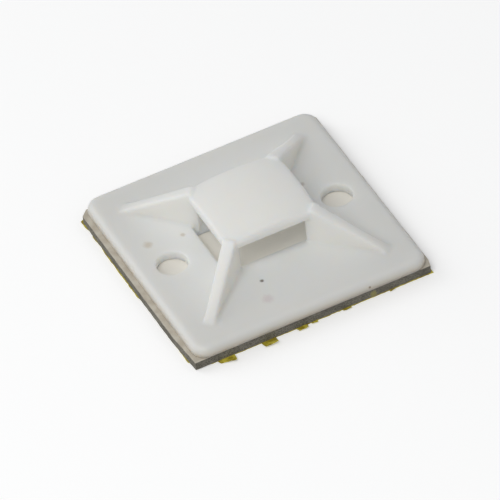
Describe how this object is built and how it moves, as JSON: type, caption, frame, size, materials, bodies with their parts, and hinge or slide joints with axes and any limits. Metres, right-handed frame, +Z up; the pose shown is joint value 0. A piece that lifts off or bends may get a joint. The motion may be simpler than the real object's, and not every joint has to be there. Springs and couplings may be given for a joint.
{
  "type": "cable tie mount",
  "caption": "Square self-adhesive cable tie mount: a translucent white nylon plate with a raised cap on diagonal ribs, screw holes, foam tape and a torn yellow liner.",
  "frame": {"origin": "centre of the square base plate, on the plane that the underside of the release liner rests on", "axes": "+X along the line of the two screw holes, +Y towards the edge with the moulding gate, +Z up out of the plate towards the cap"},
  "size_m": [0.0291, 0.029, 0.0077],
  "materials": {
    "nylon": "translucent natural nylon, satin",
    "foam": "fine-celled foam tape, cut edge grey",
    "liner": "yellow siliconed release paper, slightly glossy"
  },
  "bodies": {
    "root": {"mount_body": "nylon", "foam_pad": "foam", "release_liner": "liner"}
  },
  "joints": []
}
